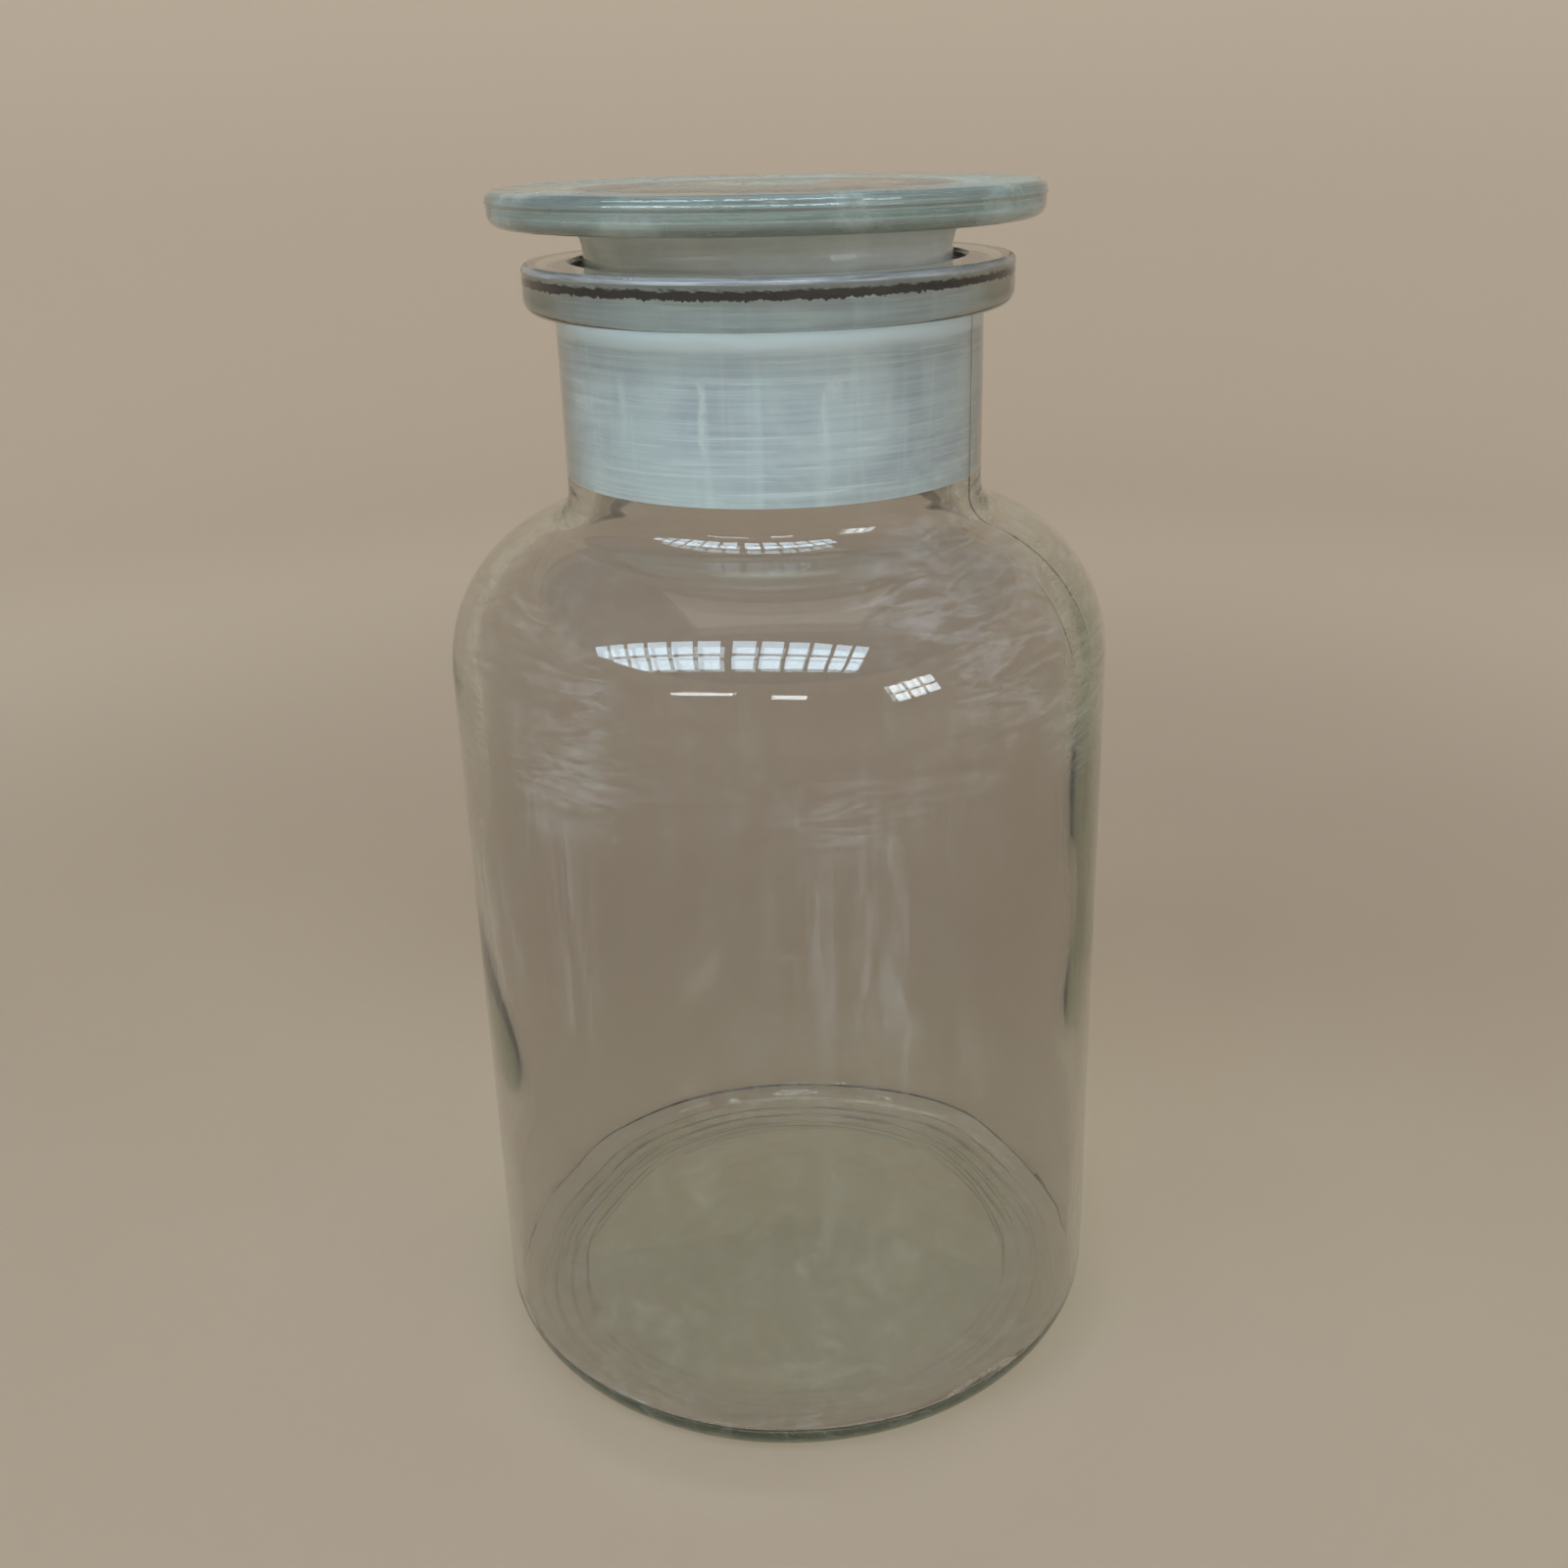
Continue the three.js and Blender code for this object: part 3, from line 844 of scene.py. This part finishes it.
def stained_mouth():
    """The rounded mouth above the ground bore, with a thin line of the same grime caught round it."""
    t = Tree("stained_mouth")
    scratches = t.noise((60, 60, 1800), 4, 0.7, 0.5)
    gaps = t.span(t.noise((70, 70, 400), 4, 0.7), 0.34, 0.46)
    stain = t.sum("MULTIPLY", gaps, t.line(MOUTH_LINE_HEIGHT, MOUTH_LINE_HALF_WIDTH))
    tint = t.blend(t.span(scratches, 0.35, 0.65), rgb(0.50, 0.50, 0.48), rgb(0.74, 0.76, 0.76))
    shader = t.principled(
        Base_Color=t.blend(stain, tint, t.grime()),
        Roughness=t.span(scratches, 0.35, 0.65, 0.12, 0.3),
        IOR=GLASS_IOR,
        Transmission_Weight=t.span(stain, 0.0, 1.0, 0.6, 0.0),
    )
    return t.finish(shader, shade=rgb(0.8, 0.82, 0.80), **BOTTLE_VOLUME)


def stopper_glass():
    """Pressed glass of the stopper's hollow: slightly uneven, with faint scuffs."""
    t = Tree("stopper_glass")
    patches = t.span(t.noise((24, 24, 24), 4, 0.6, 0.6), 0.48, 0.72)
    scuffs = t.span(t.noise((160, 60, 200), 4, 0.65, 1.2), 0.55, 0.72)
    film = t.sum("MULTIPLY", patches, scuffs)
    waves = t.noise((22, 22, 40), 2, 0.5, 0.3)
    shader = t.principled(
        Base_Color=rgb(0.95, 0.96, 0.955),
        Roughness=t.sum("ADD", t.sum("MULTIPLY", film, 0.08), 0.018),
        IOR=GLASS_IOR,
        Transmission_Weight=t.sum("SUBTRACT", 0.985, t.sum("MULTIPLY", film, 0.14)),
        Normal=t.bumped(waves, 0.35, 0.3 * MM),
    )
    return t.finish(shader, shade=rgb(0.90, 0.94, 0.92), **STOPPER_VOLUME)


def dusty_top():
    """The head's flat top, dulled by dust and fine scuffs."""
    t = Tree("dusty_top")
    dust = t.noise((300, 300, 300), 4, 0.7)
    scuffs = t.noise((140, 40, 200), 4, 0.65, 1.2)
    patches = t.noise((40, 40, 40), 4, 0.6, 0.6)
    tint = t.blend(t.span(dust, 0.42, 0.62), rgb(0.50, 0.52, 0.49), rgb(0.66, 0.67, 0.63))
    tint = t.blend(t.span(scuffs, 0.55, 0.68, 0.0, 0.6), tint, rgb(0.80, 0.81, 0.78))
    shader = t.principled(
        Base_Color=tint,
        Roughness=t.span(patches, 0.38, 0.64, 0.08, 0.30),
        IOR=GLASS_IOR,
        Transmission_Weight=t.span(patches, 0.38, 0.64, 0.94, 0.76),
        Normal=t.bumped(scuffs, 0.1, 0.1 * MM),
    )
    return t.finish(shader, shade=rgb(0.82, 0.86, 0.84), **STOPPER_VOLUME)


def floor_paper_painted_light():
    """Plain pale paper, with painted light: lighter away from the jar and up the wall, where the lamps'
    light falls off.
    """
    t = Tree("floor_paper_painted_light")
    mottle = t.noise(9, 3, 0.5)
    colour = t.blend(mottle, rgb(0.405, 0.296, 0.208), rgb(0.425, 0.313, 0.221))
    # Painted light: the paper turns lighter with distance and height, standing in for light the lamps don't
    # give there.
    colour = t.blend(t.span(t.away(), 0.30, 0.75), colour, rgb(0.575, 0.443, 0.326))
    colour = t.blend(t.span(t.up(), 0.15, 0.45), colour, rgb(0.64, 0.50, 0.37))
    shader = t.principled(Base_Color=colour, Roughness=0.9)
    return t.finish(shader)


# ---------------------------------------------------------------- studio
FLOOR_DROP = 0.15 * MM
FLOOR_FLAT_RADIUS = 0.9
FLOOR_SWEEP = 0.75
FLOOR_WALL_TOP = 1.2

LIGHT_AIM = (0, 0, 0.17)
SKYLIGHT_PLACE = (-0.5, -1.12, 1.66)
SKYLIGHT_COLOUR = (0.63, 0.83, 1.0)
SIDE_WINDOW_PLACE = (1.0, -0.98, 0.62)
SIDE_WINDOW_COLOUR = (0.80, 0.91, 1.0)
LOW_WINDOW_PLACE = (-0.28, -1.34, 0.75)
LOW_WINDOW_COLOUR = (0.90, 0.96, 1.0)
CEILING_PLACE = (0, 0.2, 2.2)
CEILING_COLOUR = (1.0, 0.98, 0.95)


def unshifted(zone, radius, height, azimuth):
    """Leaves a point of an outline where it is."""
    return radius, height


def studio_floor():
    """A round pale floor that turns up far behind the object on every side."""
    wall_radius = FLOOR_FLAT_RADIUS + FLOOR_SWEEP
    outline = [
        ("floor", straight((0, -FLOOR_DROP), (FLOOR_FLAT_RADIUS, -FLOOR_DROP), 0.15)),
        ("floor", arc(FLOOR_FLAT_RADIUS, FLOOR_SWEEP - FLOOR_DROP, FLOOR_SWEEP, -90, 0)),
        ("floor", straight((wall_radius, FLOOR_SWEEP), (wall_radius, FLOOR_WALL_TOP), 0.2)),
    ]
    floor, _ = turned("floor", outline, azimuths(96, ()), unshifted)
    for polygon in floor.data.polygons:
        polygon.flip()
    floor.data.materials.append(floor_paper_painted_light())


def area_light(name, place, size, power, colour, turn=0.0, shift=(0, 0), aim=LIGHT_AIM):
    """A rectangular soft lamp at place that faces aim, turned and moved sideways in its own plane."""
    light = bpy.data.lights.new(name, "AREA")
    light.shape = "RECTANGLE"
    light.size, light.size_y = size
    light.energy = power
    light.color = colour
    lamp = bpy.data.objects.new(name, light)
    facing = (Vector(aim) - Vector(place)).to_track_quat("-Z", "Y")
    in_plane = Matrix.Rotation(turn, 4, "Z") @ Matrix.Translation((*shift, 0))
    lamp.matrix_world = Matrix.Translation(place) @ (facing.to_matrix().to_4x4() @ in_plane)
    bpy.context.scene.collection.objects.link(lamp)


def window(name, place, columns, rows, pitch, pane, power, colour, turn, middle_gap=0.0):
    """A window of separate panes, each pane of its own power, with a wider gap in the middle if asked."""
    for column in range(columns):
        across = (column - (columns - 1) / 2) * pitch[0]
        across += math.copysign(middle_gap / 2, across)
        for row in range(rows):
            shift = (across, (row - (rows - 1) / 2) * pitch[1])
            area_light(f"{name}_{column}_{row}", place, pane, power, colour, turn, shift)


def studio_lights():
    """A wide skylight above and in front, a small window at the right, and soft light all round."""
    window(
        "skylight", SKYLIGHT_PLACE, columns=12, rows=2, pitch=(0.268, 0.36), pane=(0.215, 0.30),
        power=2.15, colour=SKYLIGHT_COLOUR, turn=0.22, middle_gap=0.06,
    )
    window(
        "side_window", SIDE_WINDOW_PLACE, columns=3, rows=2, pitch=(0.14, 0.15), pane=(0.11, 0.12),
        power=0.5, colour=SIDE_WINDOW_COLOUR, turn=0.12,
    )
    area_light("low_window_0", LOW_WINDOW_PLACE, (0.55, 0.04), 0.8, LOW_WINDOW_COLOUR, 0.05, (-0.38, 0.04))
    area_light("low_window_1", LOW_WINDOW_PLACE, (0.30, 0.07), 0.6, LOW_WINDOW_COLOUR, 0.0, (0.36, 0))
    area_light("ceiling", CEILING_PLACE, (1.6, 1.6), 6, CEILING_COLOUR, aim=(0, 0, 0))
    world = bpy.data.worlds.new("studio")
    world.use_nodes = True
    world.node_tree.nodes["Background"].inputs["Color"].default_value = rgb(0.22, 0.22, 0.22)
    world.node_tree.nodes["Background"].inputs["Strength"].default_value = 1.0
    bpy.context.scene.world = world


# ---------------------------------------------------------------- camera
CAMERA_PLACE = (0, -0.3271, 0.2613)
CAMERA_YAW = 1.2451
CAMERA_PITCH = -22.4713
CAMERA_ROLL = -1.1853
CAMERA_LENS_MM = 37.01
CAMERA_SHIFT_X = -0.0206


def camera():
    """The camera, in front of the jar and above it, looking down on it with a slight roll."""
    yaw, pitch, roll = (math.radians(a) for a in (CAMERA_YAW, CAMERA_PITCH, CAMERA_ROLL))
    ahead = Vector((math.sin(yaw) * math.cos(pitch), math.cos(yaw) * math.cos(pitch), math.sin(pitch)))
    level = Vector((math.cos(yaw), -math.sin(yaw), 0))
    upright = level.cross(ahead)
    right = level * math.cos(roll) + upright * math.sin(roll)
    up = upright * math.cos(roll) - level * math.sin(roll)
    data = bpy.data.cameras.new("camera")
    data.sensor_width = 36
    data.lens = CAMERA_LENS_MM
    data.shift_x = CAMERA_SHIFT_X
    data.clip_start = 0.01
    data.clip_end = 20
    cam = bpy.data.objects.new("camera", data)
    turn = Matrix((right, up, -ahead)).transposed().to_4x4()
    cam.matrix_world = Matrix.Translation(CAMERA_PLACE) @ turn
    bpy.context.scene.collection.objects.link(cam)
    bpy.context.scene.camera = cam


def light_paths():
    """Enough bounces to see through all the glass, stray bright specks held down, and plain tones."""
    cycles = bpy.context.scene.cycles
    cycles.max_bounces = 28
    cycles.transmission_bounces = 26
    cycles.glossy_bounces = 8
    cycles.diffuse_bounces = 4
    cycles.transparent_max_bounces = 24
    cycles.sample_clamp_indirect = 6
    cycles.blur_glossy = 0.2
    cycles.use_denoising = True
    bpy.context.scene.view_settings.view_transform = "Standard"


# ---------------------------------------------------------------- making
def make_bottle():
    """The jar, in place of its CAD solid."""
    around = azimuths(COLUMNS_AROUND, SEAM_AZIMUTHS)
    obj, zones = turned("bottle_glass_body", bottle_outline(), around, bottle_shift)
    materials = {
        "other": bottle_glass(),
        "ground": ground_glass("ground_bore", BOTTLE_VOLUME, (0.715, 0.757, 0.84), dirt_and_painted_light=True),
        "mouth": stained_mouth(),
        "worn_edge": worn_glass_painted_highlights(),
    }
    finish_piece(obj, zones, materials, "bottle")
    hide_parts("bottle")


def make_stopper():
    """The stopper, in place of its CAD solid."""
    around = azimuths(COLUMNS_AROUND, ())
    obj, zones = turned("stopper_glass_body", stopper_outline(), around, stopper_shift)
    edge = pressed_edge("pressed_edge", rgb(0.50, 0.60, 0.555), rgb(0.72, 0.81, 0.77), 0.78)
    materials = {
        "other": stopper_glass(),
        "head": edge,
        "head_edge": edge,
        # Painted light: the head's lower round gets a lighter, less clear copy of the pressed edge,
        # standing in for light that the disc lets down onto it.
        "head_foot": pressed_edge("pressed_foot_painted_light", rgb(0.54, 0.66, 0.61), rgb(0.72, 0.83, 0.78), 0.72),
        # Painted light: the waist under the disc gets a pale, much less clear copy of the pressed glass,
        # standing in for light that reaches it past the disc.
        "waist": pressed_edge("pressed_waist_painted_light", rgb(0.84, 0.90, 0.88), rgb(0.94, 0.99, 0.97), 0.36),
        "top": dusty_top(),
        "ground": ground_glass("ground_plug", STOPPER_VOLUME, (0.66, 0.73, 0.76)),
    }
    finish_piece(obj, zones, materials, "stopper")
    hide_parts("stopper")


camera()
studio_floor()
studio_lights()
light_paths()
make_bottle()
make_stopper()

bpy.context.view_layer.update()
